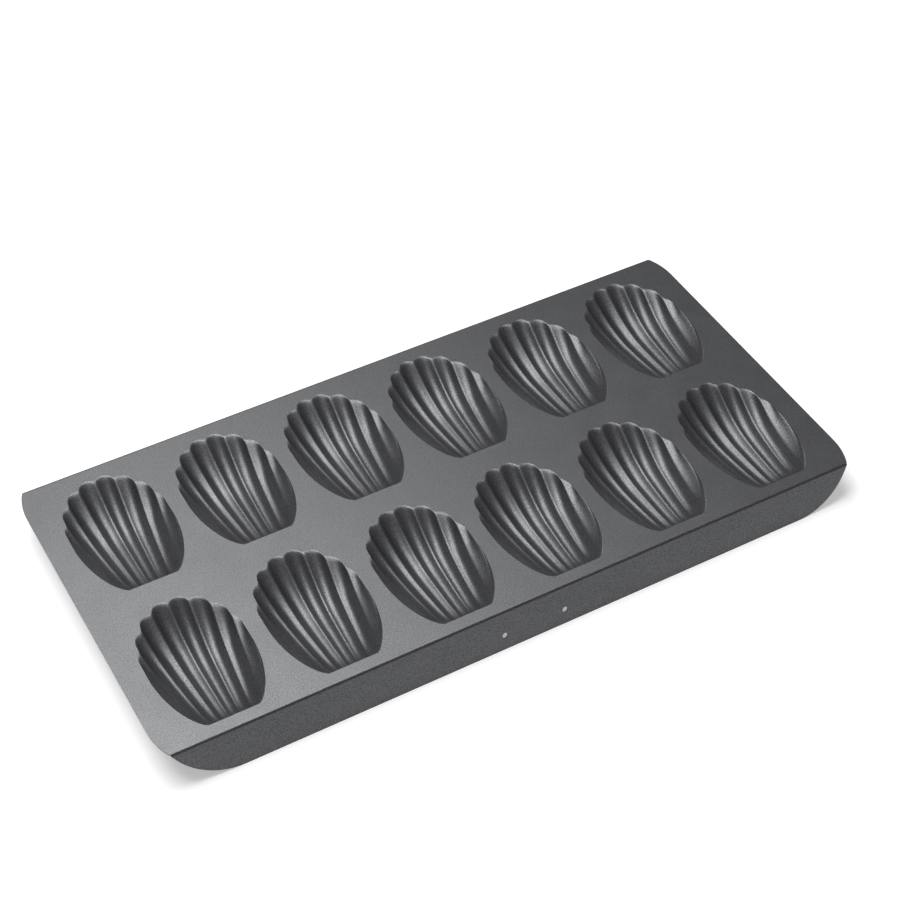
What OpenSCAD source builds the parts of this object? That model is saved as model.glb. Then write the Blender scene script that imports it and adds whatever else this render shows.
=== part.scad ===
/* [Sheet] */
// Length of the pan, along the rows of cups
pan_length = 400; // [396:1:440]
// Height of the pan, from the edge it stands on to the top of the deck
pan_height = 19.5; // [16:0.5:24]
// Width of the flat deck, between the starts of the two bends
deck_width = 191.6; // [190:0.2:210]
// Thickness of the coated steel sheet
sheet = 0.8; // [0.6:0.1:1]
// Radius of the rounded corners, measured on the flat blank
corner_radius = 38.8; // [30:0.2:44]

/* [Flanges] */
// Angle that each long flange is bent down through
bend_angle = 69; // [60:1:85]
// Radius of the outside of the bend
bend_radius = 1.7; // [1.2:0.1:3]
// Diameter of the two small holes in the front flange
hole_diameter = 3; // [2:0.5:4]
// Distance between the centres of the two holes
hole_spacing = 35; // [20:1:60]
// Distance from the end of the bend down the flange to the hole centres
hole_drop = 12.1; // [8:0.1:14]

/* [Cup rows] */
// Number of cups in each row
cups_per_row = 6; // [6:1:6]
// Distance from cup to cup along a row
cup_pitch = 63.7; // [62:0.1:66]
// Distance between the centre lines of the two rows
row_pitch = 96.3; // [94:0.1:98]
// How far the rows sit forward of the middle of the deck
row_shift = 0.5; // [0:0.1:2]

/* [Cup mouth] */
// Width of the mouth where it is widest
mouth_width = 55; // [50:0.5:56]
// Length of the fan, from the widest place to its middle notch
fan_length = 39; // [36:0.5:40]
// Length of the narrow end, from the widest place to its straight edge
toe_length = 40.9; // [38:0.1:42]
// Distance at which the curve of the narrow end would close if it weren't cut off
toe_reach = 48; // [46:0.5:50]
// How far the biggest lobes of the fan stand out past its notches
lobe_height = 2.2; // [1:0.1:2.6]

/* [Cup shell] */
// Depth of the smooth shell under the top of the deck
cup_depth = 13.4; // [10:0.1:15]
// Rounding of the lip where the shell leaves the deck
lip_rounding = 0.8; // [0.3:0.1:1.2]
// How far the floor has risen by the time it reaches the straight edge
toe_rise = 0.2; // [0:0.05:0.4]
// Depth of a flute where it meets the straight edge
toe_flute_depth = 0.7; // [0.3:0.1:1]

/* [Hidden] */
$fa = 3;
$fs = 0.5;
// Flutes on each side of the middle ridge
half_flutes = 4;
// Angle of the rim ellipse taken by each of the inner flutes
flute_angle = 21.5;
// Angles of the rim ellipse at which its two halves leave off, short of the widest place
side_angle = 86;
// Angle of the narrow end's curve at its rounded corner
toe_corner_angle = 36;
// Spacing of the flutes at the straight edge
toe_flute_pitch = 4.9;
// Last place on the straight edge before the corner, in flutes
toe_edge_end = 2.75;
// Power that gives the shell's cross section its shape
section_power = 1.1;
// Power that squares the floor off against the wall of the narrow end
toe_wall_power = 10;
// Part of a flute's length over which it turns from the wall to the floor
flute_turn = 0.3;
// Part of a flute's length over which it fades out at the straight edge
flute_fade = 0.12;
// Flutes at which the lobes of the fan have died away
lobe_end = 3.95;
// Flats that make up the bend
bend_steps = 12;

deck_half = deck_width / 2;
semi_width = mouth_width / 2;
bend_arc = bend_radius * bend_angle * PI / 180;
bend_out = bend_radius * sin(bend_angle);
bend_down = bend_radius * (1 - cos(bend_angle));
slant = (pan_height - bend_down) / sin(bend_angle);
blank_half = deck_half + bend_arc + slant;
columns = concat([-4, -3.5], [for (i = [-12:12]) i / 4], [3.5, 4]);
stations = [0, 0.02, 0.07, 0.18, 0.34, 0.52, 0.71, 0.87, 0.95, 1];

// Place of a cup's widest point, along and across the deck
function cup_x(i) = (i - (cups_per_row + 1) / 2) * cup_pitch;
function cup_y(row) = (row - 0.5) * row_pitch - row_shift;

// Rim of a cup. u counts flutes from the middle ridge: whole numbers are ridges.
function scallop(u) = abs(sin(180 * u));
function lobe(u) = lobe_height * max(0, 1 - pow(abs(u) / lobe_end, 3));
function fan_angle(u) =
    let (inner = min(abs(u), half_flutes - 1), outer = abs(u) - inner)
    sign(u) * (inner * flute_angle + outer * (side_angle - (half_flutes - 1) * flute_angle));
function fan_base(u) = [semi_width * sin(fan_angle(u)), fan_length * cos(fan_angle(u))];
function fan_normal(u) =
    let (n = [fan_length * sin(fan_angle(u)), semi_width * cos(fan_angle(u))])
    n / norm(n);
function fan_rim(u) = fan_base(u) + lobe(u) * scallop(u) * fan_normal(u);
function toe_angle(u) = toe_corner_angle + (abs(u) - 3) * (side_angle - toe_corner_angle);
function toe_rim(u) =
    abs(u) <= toe_edge_end
        ? [u * toe_flute_pitch, -toe_length]
        : [sign(u) * semi_width * sin(toe_angle(u)), -toe_reach * cos(toe_angle(u))];
function cup_rim() = concat(
    [for (u = columns) fan_rim(u)],
    [for (i = [len(columns) - 1:-1:0]) toe_rim(columns[i])]
);

// Depth of the smooth shell at a place in the mouth: a shallow bowl under the fan,
// and a long floor with a steep end wall at the narrow end
function fan_bowl(p) = pow(max(0, 1 - pow(p.x / semi_width, 2) - pow(p.y / fan_length, 2)), section_power);
function toe_half_width(y) = semi_width * sqrt(1 - pow(y / toe_reach, 2));
function toe_floor(s) = (1 - toe_rise * s * s) * pow(max(0, 1 - pow(s, toe_wall_power)), 0.8);
function toe_bowl(p) =
    toe_floor(-p.y / toe_length)
    * pow(max(0, 1 - pow(p.x / toe_half_width(p.y), 2)), section_power);
function bowl_depth(p) =
    let (d = (cup_depth + lip_rounding) * (p.y > 0 ? fan_bowl(p) : toe_bowl(p)))
    sqrt(d * d + lip_rounding * lip_rounding) - lip_rounding;

// Depth of the flutes, t of the way from the fan rim to the narrow end
function flute_size(u, t) =
    scallop(u) * (lobe(u) * (1 - t) + toe_flute_depth * min(t, (1 - t) / flute_fade));
function shell_point(u, t) =
    let (
        p = fan_base(u) * (1 - t) + toe_rim(u) * t,
        turn = 90 * min(1, t / flute_turn),
        out = flute_size(u, t) * cos(turn) * fan_normal(u),
        down = flute_size(u, t) * sin(turn) + (t == 0 || t == 1 || abs(u) == 4 ? 0 : bowl_depth(p))
    )
    [p.x + out.x, p.y + out.y, -down];

// Inside and outside of one cup's shell as grids of points, a column for each flute line
function inner_grid() = [for (u = columns) [for (t = stations) shell_point(u, t)]];
function on_rim(i, j) = i == 0 || j == 0 || i == len(columns) - 1 || j == len(stations) - 1;
function outer_point(g, i, j) =
    let (n = cross(g[i][j + 1] - g[i][j - 1], g[i + 1][j] - g[i - 1][j]))
    g[i][j] - sheet * n / norm(n);
function outer_grid(g) = [
    for (i = [0:len(columns) - 1]) [
        for (j = [0:len(stations) - 1]) on_rim(i, j) ? g[i][j] - [0, 0, sheet] : outer_point(g, i, j)
    ]
];

// Triangles of the shell: both grids, and the strip round the rim that joins them
function flat_list(grid) = [for (column = grid) for (p = column) p];
function corner(i, j, side) = (side * len(columns) + i) * len(stations) + j;
function grid_faces(side) = [
    for (i = [0:len(columns) - 2]) for (j = [0:len(stations) - 2]) for (half = [0, 1])
        let (
            a = corner(i, j, side),
            b = corner(i + 1, j, side),
            c = corner(i + 1, j + 1, side),
            d = corner(i, j + 1, side),
            f = half == 0 ? [a, b, c] : [a, c, d]
        )
        side == 0 ? f : [f[2], f[1], f[0]]
];
function rim_path(side) = concat(
    [for (i = [0:len(columns) - 1]) corner(i, 0, side)],
    [for (j = [1:len(stations) - 1]) corner(len(columns) - 1, j, side)],
    [for (i = [len(columns) - 2:-1:0]) corner(i, len(stations) - 1, side)],
    [for (j = [len(stations) - 2:-1:1]) corner(0, j, side)]
);
function rim_faces() =
    let (top = rim_path(0), low = rim_path(1), n = len(top))
    [
        for (i = [0:n - 1]) for (half = [0, 1])
            let (k = (i + 1) % n)
            half == 0 ? [top[i], low[i], low[k]] : [top[i], low[k], top[k]]
    ];

module cup_shell() {
    inside = inner_grid();
    outside = outer_grid(inside);
    polyhedron(
        points = concat(flat_list(inside), flat_list(outside)),
        faces = concat(grid_faces(0), grid_faces(1), rim_faces()),
        convexity = 6
    );
}

module cup(row, i) {
    color([0.3, 0.3, 0.31])
        translate([cup_x(i), cup_y(row), pan_height]) cup_shell();
}

// The flat blank that the pan is pressed from
module blank() {
    square([pan_length, 2 * (blank_half - corner_radius)], center = true);
    square([pan_length - 2 * corner_radius, 2 * blank_half], center = true);
    for (sx = [-1, 1]) for (sy = [-1, 1])
        translate([sx * (pan_length / 2 - corner_radius), sy * (blank_half - corner_radius)])
            circle(corner_radius);
}

module deck() {
    color([0.42, 0.42, 0.43])
        translate([0, 0, pan_height - sheet])
            linear_extrude(sheet)
                difference() {
                    intersection() {
                        blank();
                        square([pan_length, deck_width], center = true);
                    }
                    for (row = [0, 1]) for (i = [1:cups_per_row])
                        translate([cup_x(i), cup_y(row)]) polygon(cup_rim());
                }
}

// Places its children on the slope of the rear flange: Y runs down it and Z out of it
module on_slope() {
    translate([0, deck_half + bend_out, pan_height - bend_down])
        rotate([-bend_angle, 0, 0]) children();
}

// Section of the bend and flange on one face of the sheet, seen along the pan
function arc_point(radius, angle) = [
    deck_half + radius * sin(angle),
    pan_height - bend_radius + radius * cos(angle)
];
function bend_arc_points(radius) = [for (i = [0:bend_steps]) arc_point(radius, i * bend_angle / bend_steps)];
function foot_point(radius) =
    let (p = arc_point(radius, bend_angle))
    [p.x + p.y / tan(bend_angle), 0];
function face_line(radius) = concat(bend_arc_points(radius), [foot_point(radius)]);
function turned(list) = [for (i = [len(list) - 1:-1:0]) list[i]];

// Rear flange without holes. Its edge is cut level, so that the pan stands flat.
module flange() {
    intersection() {
        rotate([90, 0, 90])
            linear_extrude(pan_length, center = true)
                polygon(concat(face_line(bend_radius), turned(face_line(bend_radius - sheet))));
        on_slope()
            translate([0, -deck_half - bend_arc, -2 * bend_radius])
                linear_extrude(4 * bend_radius) blank();
    }
}

module rear_flange() {
    color([0.36, 0.36, 0.37]) flange();
}

module front_flange() {
    color([0.36, 0.36, 0.37])
        mirror([0, 1, 0])
            difference() {
                flange();
                on_slope()
                    for (side = [-1, 1])
                        translate([side * hole_spacing / 2, hole_drop, -2 * sheet])
                            cylinder(d = hole_diameter, h = 3 * sheet);
            }
}

deck();
front_flange();
rear_flange();
cup(0, 1);  // front_cup_1
cup(0, 2);  // front_cup_2
cup(0, 3);  // front_cup_3
cup(0, 4);  // front_cup_4
cup(0, 5);  // front_cup_5
cup(0, 6);  // front_cup_6
cup(1, 1);  // rear_cup_1
cup(1, 2);  // rear_cup_2
cup(1, 3);  // rear_cup_3
cup(1, 4);  // rear_cup_4
cup(1, 5);  // rear_cup_5
cup(1, 6);  // rear_cup_6
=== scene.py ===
"""The look of a coated steel madeleine pan: its pressed sheet, its finish and a plain studio."""
import logging
import math
from dataclasses import dataclass
from enum import Enum

import bpy
import numpy as np
from mathutils import Matrix, Vector


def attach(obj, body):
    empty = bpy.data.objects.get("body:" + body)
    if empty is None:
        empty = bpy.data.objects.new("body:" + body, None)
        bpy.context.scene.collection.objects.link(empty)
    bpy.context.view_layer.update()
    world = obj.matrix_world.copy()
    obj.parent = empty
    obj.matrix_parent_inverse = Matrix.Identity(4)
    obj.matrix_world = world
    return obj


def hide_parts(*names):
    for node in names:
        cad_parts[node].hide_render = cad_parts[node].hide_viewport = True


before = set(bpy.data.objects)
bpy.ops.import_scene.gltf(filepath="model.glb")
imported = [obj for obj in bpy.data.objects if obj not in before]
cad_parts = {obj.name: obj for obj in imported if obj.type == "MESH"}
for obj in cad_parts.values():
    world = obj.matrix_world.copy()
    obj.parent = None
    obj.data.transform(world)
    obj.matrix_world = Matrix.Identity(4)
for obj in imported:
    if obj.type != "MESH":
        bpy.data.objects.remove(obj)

logging.basicConfig(level=logging.INFO, format="%(message)s")
log = logging.getLogger("madeleine_pan")

MM = 0.001
TINY = 1e-9
BODY = "root"
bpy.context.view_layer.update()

Colour = tuple[float, float, float, float]
Place = tuple[float, float, float]


class Row(Enum):
    """The two rows of cups, counted from the front."""

    FRONT = 0
    REAR = 1


# Meshes

def border(grid: np.ndarray) -> np.ndarray:
    """Walks once round the edge of a grid, from its first corner.

    Args:
        grid: Rows by columns, of indices or of points.

    Returns:
        What stands on the edge, in order and without repeating the first.
    """
    return np.concatenate([grid[:, 0], grid[-1, 1:], grid[-2::-1, -1], grid[0, -2:0:-1]])


def grid_quads(rows: int, cols: int, first: int = 0, flip: bool = False) -> np.ndarray:
    """Quads of a grid of points stored row by row.

    Args:
        rows: Number of rows of points.
        cols: Number of points in a row.
        first: Index of the grid's first point.
        flip: Turns the faces over.

    Returns:
        An array of four indices for each quad.
    """
    i, j = np.meshgrid(np.arange(rows - 1), np.arange(cols - 1), indexing="ij")
    a = (first + i * cols + j).ravel()
    quads = np.stack([a, a + cols, a + cols + 1, a + 1], axis=1)
    return quads[:, ::-1] if flip else quads


def strip_quads(top: np.ndarray, low: np.ndarray) -> np.ndarray:
    """Quads that join two closed loops with the same number of points.

    Args:
        top: Indices of the upper loop.
        low: Indices of the lower loop, in the same order.

    Returns:
        An array of four indices for each quad.
    """
    return np.stack([top, low, np.roll(low, -1), np.roll(top, -1)], axis=1)


def closed_sheet(face: np.ndarray, back: np.ndarray) -> tuple[np.ndarray, np.ndarray]:
    """A sheet with a thickness, from the grids of points of its two sides.

    Args:
        face: Points of the visible side, rows by columns by three.
        back: Points of the other side, of the same shape.

    Returns:
        The points and the quads of the closed sheet.
    """
    rows, cols = face.shape[:2]
    count = rows * cols
    top, low = np.arange(2 * count).reshape(2, rows, cols)
    points = np.concatenate([face.reshape(-1, 3), back.reshape(-1, 3)])
    quads = np.concatenate([
        grid_quads(rows, cols, flip=True),
        grid_quads(rows, cols, count),
        strip_quads(border(top), border(low)),
    ])
    return points, quads


def make_piece(name: str, points: np.ndarray, quads: np.ndarray, smooth: bool = True) -> bpy.types.Object:
    """A mesh object at the origin.

    Args:
        name: Name of the piece.
        points: Points in millimetres, in the frame.
        quads: Four indices for each face.
        smooth: Shades it as a curved surface.

    Returns:
        The new object, linked to the scene.
    """
    mesh = bpy.data.meshes.new(name)
    mesh.vertices.add(len(points))
    mesh.vertices.foreach_set("co", (points * MM).astype(np.float32).ravel())
    mesh.loops.add(quads.size)
    mesh.loops.foreach_set("vertex_index", quads.astype(np.int32).ravel())
    mesh.polygons.add(len(quads))
    mesh.polygons.foreach_set("loop_start", np.arange(0, quads.size, 4, dtype=np.int32))
    mesh.polygons.foreach_set("use_smooth", np.full(len(quads), smooth))
    mesh.update(calc_edges=True)
    mesh.validate()
    piece = bpy.data.objects.new(name, mesh)
    bpy.context.scene.collection.objects.link(piece)
    return piece


# Finishes

@dataclass(frozen=True)
class CoatGrain:
    """The grain of a metallic coat: fine flakes and a slightly uneven skin.

    Attributes:
        flake_scale: Flakes in a metre.
        cloud_scale: Cloudy patches in a metre.
        flake_detail: Octaves of the flakes.
        cloud_detail: Octaves of the patches.
        bump: Strength of the flakes' relief.
        relief: Height of the relief, in metres.
    """

    flake_scale: float = 2200.0
    cloud_scale: float = 60.0
    flake_detail: float = 2.0
    cloud_detail: float = 4.0
    bump: float = 0.1
    relief: float = 0.0002

    def group(self) -> bpy.types.NodeTree:
        """Builds the node group that every coat shares.

        Returns:
            A shader node group that puts out a flake mask, a cloud mask and a normal.
        """
        group = bpy.data.node_groups.new("coat_grain", "ShaderNodeTree")
        face = group.interface
        entries = {"Flake scale": self.flake_scale, "Cloud scale": self.cloud_scale, "Bump": self.bump}
        for name, value in entries.items():
            socket = face.new_socket(name, in_out="INPUT", socket_type="NodeSocketFloat")
            socket.default_value = value
        face.new_socket("Flakes", in_out="OUTPUT", socket_type="NodeSocketFloat")
        face.new_socket("Cloud", in_out="OUTPUT", socket_type="NodeSocketFloat")
        face.new_socket("Normal", in_out="OUTPUT", socket_type="NodeSocketVector")
        nodes, links = group.nodes, group.links
        entry, leave = nodes.new("NodeGroupInput"), nodes.new("NodeGroupOutput")
        place = nodes.new("ShaderNodeTexCoord")
        flakes = nodes.new("ShaderNodeTexNoise")
        flakes.inputs["Detail"].default_value = self.flake_detail
        cloud = nodes.new("ShaderNodeTexNoise")
        cloud.inputs["Detail"].default_value = self.cloud_detail
        bump = nodes.new("ShaderNodeBump")
        bump.inputs["Distance"].default_value = self.relief
        links.new(place.outputs["Object"], flakes.inputs["Vector"])
        links.new(place.outputs["Object"], cloud.inputs["Vector"])
        links.new(entry.outputs["Flake scale"], flakes.inputs["Scale"])
        links.new(entry.outputs["Cloud scale"], cloud.inputs["Scale"])
        links.new(entry.outputs["Bump"], bump.inputs["Strength"])
        links.new(flakes.outputs["Fac"], bump.inputs["Height"])
        links.new(flakes.outputs["Fac"], leave.inputs["Flakes"])
        links.new(cloud.outputs["Fac"], leave.inputs["Cloud"])
        links.new(bump.outputs["Normal"], leave.inputs["Normal"])
        return group


@dataclass(frozen=True)
class NonStickCoat:
    """A satin metallic coat on sheet steel.

    Attributes:
        name: Name of the material.
        dark: Colour between the flakes.
        light: Colour of the flakes.
        flake_low: Value of the flake mask at which the coat is at its darkest.
        flake_high: Value of the flake mask at which it is at its lightest.
        roughness: Roughness of the coat.
        roughness_swing: How far the roughness goes up and down from that.
        metallic: How metallic the coat looks.
    """

    name: str
    dark: Colour = (0.055, 0.056, 0.059, 1.0)
    light: Colour = (0.17, 0.172, 0.178, 1.0)
    flake_low: float = 0.3
    flake_high: float = 0.7
    roughness: float = 0.4
    roughness_swing: float = 0.05
    metallic: float = 0.8

    def material(self, grain: bpy.types.NodeTree) -> bpy.types.Material:
        """Builds the material.

        Args:
            grain: The shared grain group.

        Returns:
            The finished material.
        """
        made = bpy.data.materials.new(self.name)
        made.use_nodes = True
        nodes, links = made.node_tree.nodes, made.node_tree.links
        shader = nodes["Principled BSDF"]
        shader.inputs["Metallic"].default_value = self.metallic
        texture = nodes.new("ShaderNodeGroup")
        texture.node_tree = grain
        colours = nodes.new("ShaderNodeMix")
        colours.data_type = "RGBA"
        colours.inputs["A"].default_value = self.dark
        colours.inputs["B"].default_value = self.light
        spread = nodes.new("ShaderNodeMapRange")
        spread.inputs["From Min"].default_value = self.flake_low
        spread.inputs["From Max"].default_value = self.flake_high
        rough = nodes.new("ShaderNodeMapRange")
        rough.inputs["To Min"].default_value = self.roughness - self.roughness_swing
        rough.inputs["To Max"].default_value = self.roughness + self.roughness_swing
        links.new(texture.outputs["Flakes"], spread.inputs["Value"])
        links.new(spread.outputs["Result"], colours.inputs["Factor"])
        links.new(colours.outputs["Result"], shader.inputs["Base Color"])
        links.new(texture.outputs["Cloud"], rough.inputs["Value"])
        links.new(rough.outputs["Result"], shader.inputs["Roughness"])
        links.new(texture.outputs["Normal"], shader.inputs["Normal"])
        return made


@dataclass(frozen=True)
class FloorPaper:
    """Pale matt paper, lifted to white where it is looked at.

    Attributes:
        colour: Its colour under the lamps.
        roughness: Its roughness.
        glow_colour: Colour of the glow.
        glow: Glow seen by the camera, in reflections and through glass.
    """

    colour: Colour = (0.8, 0.8, 0.8, 1.0)
    roughness: float = 0.9
    glow_colour: Colour = (1.0, 1.0, 1.0, 1.0)
    glow: float = 0.4

    def material(self) -> bpy.types.Material:
        """Builds the material, whose glow lights nothing matt.

        Returns:
            The finished material.
        """
        paper = bpy.data.materials.new("floor_paper")
        paper.use_nodes = True
        nodes, links = paper.node_tree.nodes, paper.node_tree.links
        shader = nodes["Principled BSDF"]
        shader.inputs["Base Color"].default_value = self.colour
        shader.inputs["Roughness"].default_value = self.roughness
        shader.inputs["Emission Color"].default_value = self.glow_colour
        rays = nodes.new("ShaderNodeLightPath")
        seen = rays.outputs["Is Camera Ray"]
        for kind in ("Is Glossy Ray", "Is Transmission Ray"):
            both = nodes.new("ShaderNodeMath")
            links.new(seen, both.inputs[0])
            links.new(rays.outputs[kind], both.inputs[1])
            seen = both.outputs["Value"]
        lift = nodes.new("ShaderNodeMath")
        lift.operation = "MULTIPLY"
        lift.inputs[1].default_value = self.glow
        links.new(seen, lift.inputs[0])
        links.new(lift.outputs["Value"], shader.inputs["Emission Strength"])
        return paper


# The pan

@dataclass(frozen=True)
class Sheet:
    """Sizes of the pressed sheet, in millimetres.

    Attributes:
        length: Length of the pan, along the rows of cups.
        height: Height of the deck's top above the floor.
        deck_half: Half the width of the flat deck.
        thickness: Thickness of the sheet.
        corner_radius: Radius of the blank's corners.
        blank_half: Half the width of the blank, before its long sides are bent.
        cups_per_row: Number of cups in each row.
        cup_pitch: Distance from cup to cup along a row.
        row_pitch: Distance between the centre lines of the rows.
        row_shift: How far the rows sit forward of the middle.
    """

    length: float = 400.0
    height: float = 19.5
    deck_half: float = 95.8
    thickness: float = 0.8
    corner_radius: float = 38.8
    blank_half: float = 117.57
    cups_per_row: int = 6
    cup_pitch: float = 63.7
    row_pitch: float = 96.3
    row_shift: float = 0.5

    def cup_centre(self, row: Row, number: int) -> tuple[float, float]:
        """Place of a cup's widest point on the deck."""
        along = number - (self.cups_per_row + 1) / 2
        return along * self.cup_pitch, (row.value - 0.5) * self.row_pitch - self.row_shift

    def end_at(self, across: np.ndarray) -> np.ndarray:
        """Half length of the blank, which its rounded corners shorten towards the long sides.

        Args:
            across: Distances from the middle of the blank.

        Returns:
            The half length at each.
        """
        straight = self.blank_half - self.corner_radius
        over = np.clip(np.abs(across) - straight, 0.0, self.corner_radius)
        return self.length / 2 - self.corner_radius + np.sqrt(self.corner_radius**2 - over**2)


@dataclass
class ShellCup:
    """One fluted cup, pressed into the deck. Sizes are in millimetres.

    The letter u counts flutes from the middle ridge, so whole numbers are ridges. The letter t
    goes from 0 at the fan's rim to 1 at the rim of the narrow end.

    Attributes:
        sheet: Sizes of the sheet it is pressed from.
        row: Its row.
        number: Its place in the row, from the left.
        semi_width: Half the width of the mouth where it is widest.
        fan_length: Length of the fan, from the widest place to its middle notch.
        toe_length: Length of the narrow end, from the widest place to its straight edge.
        toe_reach: Distance at which the curve of the narrow end would close.
        lobe_height: How far the biggest lobes of the fan stand out past its notches.
        lobe_end: Flutes at which the lobes have died away.
        lobe_power: Power with which they die away.
        depth: Depth of the smooth shell under the deck.
        lip: Rounding of the lip.
        toe_rise: Share of the depth that the floor has risen by at the straight edge.
        toe_flute: Depth of a flute near the straight edge.
        ridge_softness: Rounding of the ridges, as a share of a flute's height.
        half_flutes: Flutes on each side of the middle ridge.
        flute_angle: Angle of the rim's ellipse taken by each inner flute.
        side_angle: Angle at which the two halves of the rim leave off.
        toe_corner_angle: Angle of the narrow end's curve at its rounded corner.
        toe_flute_pitch: Spacing of the flutes at the straight edge.
        toe_edge_end: Last place on the straight edge before the corner, in flutes.
        section_power: Power that gives the cross section its shape.
        toe_wall_power: Power that squares the floor off against the end wall.
        toe_wall_round: Power that rounds the top of the end wall.
        flute_turn: Part of a flute's length over which it turns from the wall to the floor.
        flute_fade: Part of a flute's length over which it fades out at the straight edge.
        columns: Points across the flutes.
        stations: Points along a flute.
    """

    sheet: Sheet
    row: Row
    number: int
    semi_width: float = 27.5
    fan_length: float = 39.0
    toe_length: float = 40.9
    toe_reach: float = 48.0
    lobe_height: float = 2.2
    lobe_end: float = 3.95
    lobe_power: int = 3
    depth: float = 13.4
    lip: float = 0.8
    toe_rise: float = 0.2
    toe_flute: float = 0.7
    ridge_softness: float = 0.12
    half_flutes: int = 4
    flute_angle: float = math.radians(21.5)
    side_angle: float = math.radians(86.0)
    toe_corner_angle: float = math.radians(36.0)
    toe_flute_pitch: float = 4.9
    toe_edge_end: float = 2.75
    section_power: float = 1.1
    toe_wall_power: int = 10
    toe_wall_round: float = 0.8
    flute_turn: float = 0.3
    flute_fade: float = 0.12
    columns: int = 161
    stations: int = 65

    @property
    def name(self) -> str:
        """Name of the CAD node that this cup stands for."""
        return f"{self.row.name.lower()}_cup_{self.number}"

    @property
    def last_ridge(self) -> int:
        """The ridge that meets the corner of the narrow end, in flutes from the middle."""
        return self.half_flutes - 1

    def scallop(self, u: np.ndarray) -> np.ndarray:
        """Height of the scallops across the flutes: the size of a sine with soft ridges.

        Args:
            u: Flutes from the middle ridge.

        Returns:
            Heights from 0 on a ridge to 1 in the middle of a flute.
        """
        soft = self.ridge_softness
        top = math.sqrt(1.0 + soft**2) - soft
        return (np.sqrt(np.sin(np.pi * u) ** 2 + soft**2) - soft) / top

    def lobe(self, u: np.ndarray) -> np.ndarray:
        """Height of the lobe at u: greatest in the middle, none at the sides."""
        return self.lobe_height * np.maximum(0.0, 1.0 - (np.abs(u) / self.lobe_end) ** self.lobe_power)

    def flute_size(self, u: np.ndarray, t: np.ndarray) -> np.ndarray:
        """Size of the flutes: the lobe's height at the fan, which fades into the toe's depth."""
        near_toe = self.toe_flute * np.minimum(t, (1 - t) / self.flute_fade)
        return self.scallop(u) * (self.lobe(u) * (1 - t) + near_toe)

    def fan_base(self, u: np.ndarray) -> tuple[np.ndarray, np.ndarray]:
        """Smooth outline of the fan and its outward normal.

        The outline is an ellipse. Its angle grows evenly over the inner flutes and faster over
        the outer one.

        Args:
            u: Flutes from the middle ridge.

        Returns:
            Points and unit normals in the plane of the deck.
        """
        inner = np.minimum(np.abs(u), self.last_ridge)
        outer = np.abs(u) - inner
        angle = np.sign(u) * (
            inner * self.flute_angle + outer * (self.side_angle - self.last_ridge * self.flute_angle)
        )
        point = np.stack([self.semi_width * np.sin(angle), self.fan_length * np.cos(angle)], -1)
        normal = np.stack([self.fan_length * np.sin(angle), self.semi_width * np.cos(angle)], -1)
        return point, normal / np.linalg.norm(normal, axis=-1, keepdims=True)

    def toe_edge(self, u: np.ndarray) -> np.ndarray:
        """The straight edge of the narrow end, with its flutes evenly spaced."""
        return np.stack([u * self.toe_flute_pitch, np.full_like(u, -self.toe_length)], -1)

    def toe_curve(self, u: np.ndarray) -> np.ndarray:
        """The ellipse of the narrow end, from its rounded corner out to the widest place.

        Args:
            u: Flutes from the middle ridge.

        Returns:
            Points in the plane of the deck.
        """
        spread = self.side_angle - self.toe_corner_angle
        angle = self.toe_corner_angle + (np.abs(u) - self.last_ridge) * spread
        across = np.sign(u) * self.semi_width * np.sin(angle)
        return np.stack([across, -self.toe_reach * np.cos(angle)], -1)

    def toe_rim(self, u: np.ndarray) -> np.ndarray:
        """Outline of the narrow end.

        It is the straight edge in the middle and the curve at the sides. A straight line joins
        the end of the edge to the start of the curve.

        Args:
            u: Flutes from the middle ridge.

        Returns:
            Points in the plane of the deck.
        """
        side, away = np.sign(u), np.abs(u)[..., None]
        over = np.clip((away - self.toe_edge_end) / (self.last_ridge - self.toe_edge_end), 0.0, 1.0)
        edge_end = self.toe_edge(side * self.toe_edge_end)
        curve_start = self.toe_curve(side * self.last_ridge)
        corner = edge_end * (1 - over) + curve_start * over
        outer = np.where(away < self.last_ridge, corner, self.toe_curve(u))
        return np.where(away <= self.toe_edge_end, self.toe_edge(u), outer)

    def bowl(self, x: np.ndarray, y: np.ndarray) -> np.ndarray:
        """Depth of the smooth shell, before its flutes.

        Under the fan it is a bowl over the rim's ellipse. Towards the narrow end its floor rises
        slowly and then turns up into a steep wall. The lip rounds it off into the deck.

        Args:
            x: Places across the cup.
            y: Places along the cup.

        Returns:
            Depths below the deck.
        """
        fan = np.maximum(0.0, 1 - (x / self.semi_width) ** 2 - (y / self.fan_length) ** 2)
        s = np.clip(-y / self.toe_length, 0.0, 1.0)
        width = self.semi_width * np.sqrt(1 - (np.minimum(y, 0.0) / self.toe_reach) ** 2)
        wall = np.maximum(0.0, 1 - s**self.toe_wall_power) ** self.toe_wall_round
        floor = (1 - self.toe_rise * s**2) * wall
        toe = floor * np.maximum(0.0, 1 - (x / width) ** 2) ** self.section_power
        deep = (self.depth + self.lip) * np.where(y > 0, fan**self.section_power, toe)
        return np.sqrt(deep**2 + self.lip**2) - self.lip

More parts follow.
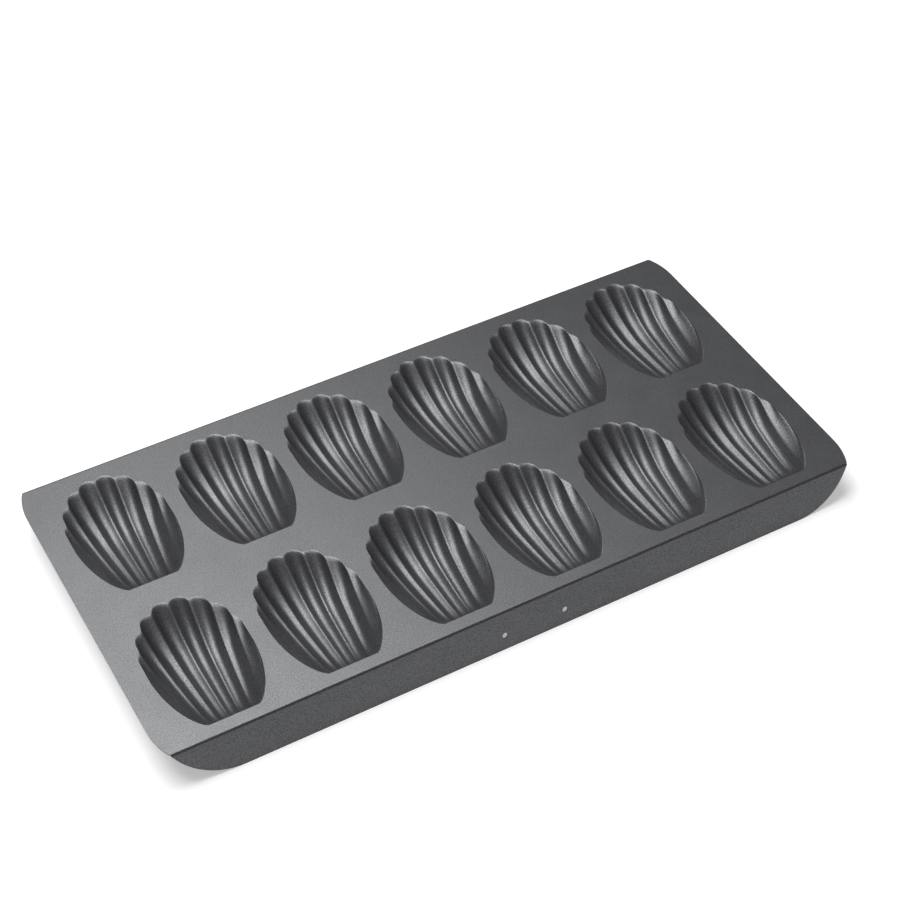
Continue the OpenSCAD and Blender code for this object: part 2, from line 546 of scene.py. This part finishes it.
    def surface(self) -> np.ndarray:
        """The inside of the cup as a grid of points.

        Each column runs along a line of the flutes, straight from the fan's rim to the narrow
        end. The flutes push it outwards at the rim and down on the floor. Columns and stations
        crowd together towards the rims, as the sine and the cosine of even steps do.

        Returns:
            Points in millimetres, columns by stations by three, in the frame.
        """
        v = np.linspace(-1.0, 1.0, self.columns)
        across = (self.half_flutes * np.sin(np.pi / 2 * v))[:, None]
        along = ((1 - np.cos(np.pi * np.linspace(0.0, 1.0, self.stations))) / 2)[None, :]
        u, t = np.broadcast_arrays(across, along)
        base, normal = self.fan_base(u)
        line = base * (1 - t[..., None]) + self.toe_rim(u) * t[..., None]
        size = self.flute_size(u, t)
        turn = np.pi / 2 * np.minimum(1.0, t / self.flute_turn)
        plan = line + (size * np.cos(turn))[..., None] * normal
        inside = (t > 0) & (t < 1) & (np.abs(u) < self.half_flutes)
        down = size * np.sin(turn) + np.where(inside, self.bowl(line[..., 0], line[..., 1]), 0.0)
        cx, cy = self.sheet.cup_centre(self.row, self.number)
        return np.stack([plan[..., 0] + cx, plan[..., 1] + cy, self.sheet.height - down], -1)

    def rim(self) -> np.ndarray:
        """Points round the mouth, clockwise from the widest place on the left."""
        return border(self.surface())

    def back(self, face: np.ndarray) -> np.ndarray:
        """The outside of the cup: the inside moved by the sheet's thickness along its normal.

        Args:
            face: The grid of the inside.

        Returns:
            A grid of the same shape.
        """
        along, across = np.gradient(face, axis=1), np.gradient(face, axis=0)
        normal = np.cross(along, across)
        normal /= np.linalg.norm(normal, axis=-1, keepdims=True)
        moved = face - self.sheet.thickness * normal
        for edge in (np.s_[0, :], np.s_[-1, :], np.s_[:, 0], np.s_[:, -1]):
            moved[edge] = face[edge] - [0.0, 0.0, self.sheet.thickness]
        return moved

    def build(self, coat: bpy.types.Material) -> bpy.types.Object:
        """Builds and dresses the cup.

        Args:
            coat: Its material.

        Returns:
            The finished piece.
        """
        face = self.surface()
        points, quads = closed_sheet(face, self.back(face))
        piece = make_piece(f"{self.name}_shell", points, quads)
        piece.data.materials.append(coat)
        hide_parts(self.name)
        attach(piece, BODY)
        return piece


@dataclass
class Deck:
    """The flat sheet round the cups.

    Attributes:
        sheet: Sizes of the sheet.
        cups: The cups that it has a mouth for.
        strip_rows: Points across the pan in the strip at each end.
        strip_columns: Points along the pan in the same strip.
    """

    sheet: Sheet
    cups: list[ShellCup]
    strip_rows: int = 193
    strip_columns: int = 5

    def cell(self, cup: ShellCup) -> tuple[np.ndarray, np.ndarray]:
        """The flat round one cup: straight lines from its rim out to its rectangle.

        Args:
            cup: The cup in the middle of the rectangle.

        Returns:
            Points of the rim and of the rectangle, in the same order.
        """
        rim = cup.rim()
        cx, cy = self.sheet.cup_centre(cup.row, cup.number)
        half = self.sheet.cup_pitch / 2
        low, high = sorted((-self.sheet.row_shift, math.copysign(self.sheet.deck_half, cy)))
        ray = rim[:, :2] - [cx, cy]
        room_x = half / np.maximum(np.abs(ray[:, 0]), TINY)
        room_y = np.where(ray[:, 1] > 0, high - cy, cy - low) / np.maximum(np.abs(ray[:, 1]), TINY)
        edge = ray * np.minimum(room_x, room_y)[:, None]
        for corner in ((-half, low - cy), (half, low - cy), (half, high - cy), (-half, high - cy)):
            edge[np.argmin(np.linalg.norm(edge - corner, axis=1))] = corner
        return rim, np.column_stack([edge + [cx, cy], np.full(len(edge), self.sheet.height)])

    def end_strip(self, side: int) -> np.ndarray:
        """The flat between the last cup's rectangle and the cut edge.

        Args:
            side: -1 for the left end and 1 for the right end.

        Returns:
            A grid of points, from the front to the rear and outwards.
        """
        y = np.linspace(-self.sheet.deck_half, self.sheet.deck_half, self.strip_rows)[:, None]
        s = np.linspace(0.0, 1.0, self.strip_columns)[None, :]
        start = self.sheet.cups_per_row / 2 * self.sheet.cup_pitch
        x = side * (start + (self.sheet.end_at(y) - start) * s)
        return np.stack(np.broadcast_arrays(x, y, np.full_like(x, self.sheet.height)), -1)

    def build(self, coat: bpy.types.Material) -> bpy.types.Object:
        """Builds and dresses the deck.

        Args:
            coat: Its material.

        Returns:
            The finished piece.
        """
        points: list[np.ndarray] = []
        quads: list[np.ndarray] = []
        count = 0
        for cup in self.cups:
            rim, edge = self.cell(cup)
            points += [rim, edge]
            loop = count + np.arange(len(rim))
            quads.append(strip_quads(loop, loop + len(rim))[:, ::-1])
            count += 2 * len(rim)
        for side in (-1, 1):
            grid = self.end_strip(side)
            points.append(grid.reshape(-1, 3))
            quads.append(grid_quads(*grid.shape[:2], count, flip=side > 0))
            count += grid.size // 3
        piece = make_piece("deck_plate", np.concatenate(points), np.concatenate(quads), smooth=False)
        thick = piece.modifiers.new("thickness", "SOLIDIFY")
        thick.thickness = self.sheet.thickness * MM
        thick.offset = -1.0
        piece.data.materials.append(coat)
        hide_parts("deck")
        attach(piece, BODY)
        return piece


@dataclass
class Flanges:
    """The two long sides, which keep their solids and take the coat.

    Attributes:
        names: Names of their CAD nodes.
    """

    names: tuple[str, str] = ("front_flange", "rear_flange")

    def dress(self, coat: bpy.types.Material) -> list[bpy.types.Object]:
        """Gives both flanges their coat.

        Args:
            coat: Their material.

        Returns:
            The two objects.
        """
        dressed = [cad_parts[name] for name in self.names]
        for node in dressed:
            node.data.materials.clear()
            node.data.materials.append(coat)
        return dressed


# The studio

@dataclass
class PhotoCamera:
    """The camera that took the photograph, fitted to the pan's outline.

    Attributes:
        place: Where it stands, in millimetres.
        target: The point it looks at, in millimetres.
        roll: How far it is turned about its line of sight.
        lens: Focal length, in millimetres.
        sensor: Width of its sensor, in millimetres.
    """

    place: Place = (-355.6, -653.0, 788.1)
    target: Place = (16.0, 15.0, 19.5)
    roll: float = math.radians(-0.08)
    lens: float = 80.94
    sensor: float = 36.0

    def build(self) -> bpy.types.Object:
        """Makes the camera and gives it to the scene.

        Returns:
            The camera.
        """
        data = bpy.data.cameras.new("photo_camera")
        data.lens, data.sensor_width = self.lens, self.sensor
        camera = bpy.data.objects.new("photo_camera", data)
        bpy.context.scene.collection.objects.link(camera)
        look = (Vector(self.target) - Vector(self.place)).to_track_quat("-Z", "Y").to_matrix().to_4x4()
        camera.matrix_world = (
            Matrix.Translation(Vector(self.place) * MM) @ look @ Matrix.Rotation(self.roll, 4, "Z")
        )
        bpy.context.scene.camera = camera
        return camera


@dataclass(frozen=True)
class SoftLamp:
    """A rectangular soft lamp that faces the middle of the pan.

    Attributes:
        name: Its name.
        place: Its centre, in metres.
        width: Its width, in metres.
        height: Its height, in metres.
        power: Its power, in watts.
    """

    name: str = "overhead"
    place: Place = (-0.2, 0.55, 1.5)
    width: float = 1.5
    height: float = 1.2
    power: float = 32.0

    def build(self) -> bpy.types.Object:
        """Makes the lamp and puts it in the scene.

        Returns:
            The lamp.
        """
        data = bpy.data.lights.new(self.name, "AREA")
        data.shape, data.size, data.size_y = "RECTANGLE", self.width, self.height
        data.energy = self.power
        lamp = bpy.data.objects.new(self.name, data)
        bpy.context.scene.collection.objects.link(lamp)
        lamp.location = self.place
        lamp.rotation_euler = (-Vector(self.place)).to_track_quat("-Z", "Y").to_euler()
        return lamp


@dataclass
class Studio:
    """A pale floor, one large soft lamp and a dim room.

    Attributes:
        floor_side: Side of the square floor, in millimetres.
        room_colour: Colour of the room's light.
        room_strength: Strength of the room's light.
    """

    floor_side: float = 6000.0
    room_colour: Colour = (1.0, 1.0, 1.0, 1.0)
    room_strength: float = 0.15

    def floor(self) -> bpy.types.Object:
        """Makes the floor, which isn't part of the pan.

        Returns:
            The floor.
        """
        ends = np.array([-self.floor_side, self.floor_side]) / 2
        x, y = np.meshgrid(ends, ends, indexing="ij")
        corners = np.stack([x.ravel(), y.ravel(), np.zeros(x.size)], -1)
        floor = make_piece("floor", corners, grid_quads(*x.shape), smooth=False)
        floor.data.materials.append(FloorPaper().material())
        return floor

    def world(self) -> bpy.types.World:
        """Makes the dim, even light of the room.

        Returns:
            The world.
        """
        world = bpy.data.worlds.new("studio")
        bpy.context.scene.world = world
        world.use_nodes = True
        back = world.node_tree.nodes["Background"]
        back.inputs["Color"].default_value = self.room_colour
        back.inputs["Strength"].default_value = self.room_strength
        return world

    def build(self) -> None:
        """Makes the floor, the lamp and the room's light."""
        self.floor()
        SoftLamp().build()
        self.world()


def main() -> None:
    """Builds the pan and its studio in order."""
    bpy.context.scene.view_settings.view_transform = "Standard"
    PhotoCamera().build()
    Studio().build()
    grain = CoatGrain().group()
    deck_coat = NonStickCoat("deck_coat").material(grain)
    cup_coat = NonStickCoat("cup_coat").material(grain)
    flange_coat = NonStickCoat("flange_coat").material(grain)
    sheet = Sheet()
    numbers = range(1, sheet.cups_per_row + 1)
    cups = [ShellCup(sheet, row, number) for row in Row for number in numbers]
    for cup in cups:
        log.info("built %s", cup.build(cup_coat).name)
    log.info("built %s", Deck(sheet, cups).build(deck_coat).name)
    for node in Flanges().dress(flange_coat):
        log.info("dressed %s", node.name)


if __name__ == "__main__":
    main()
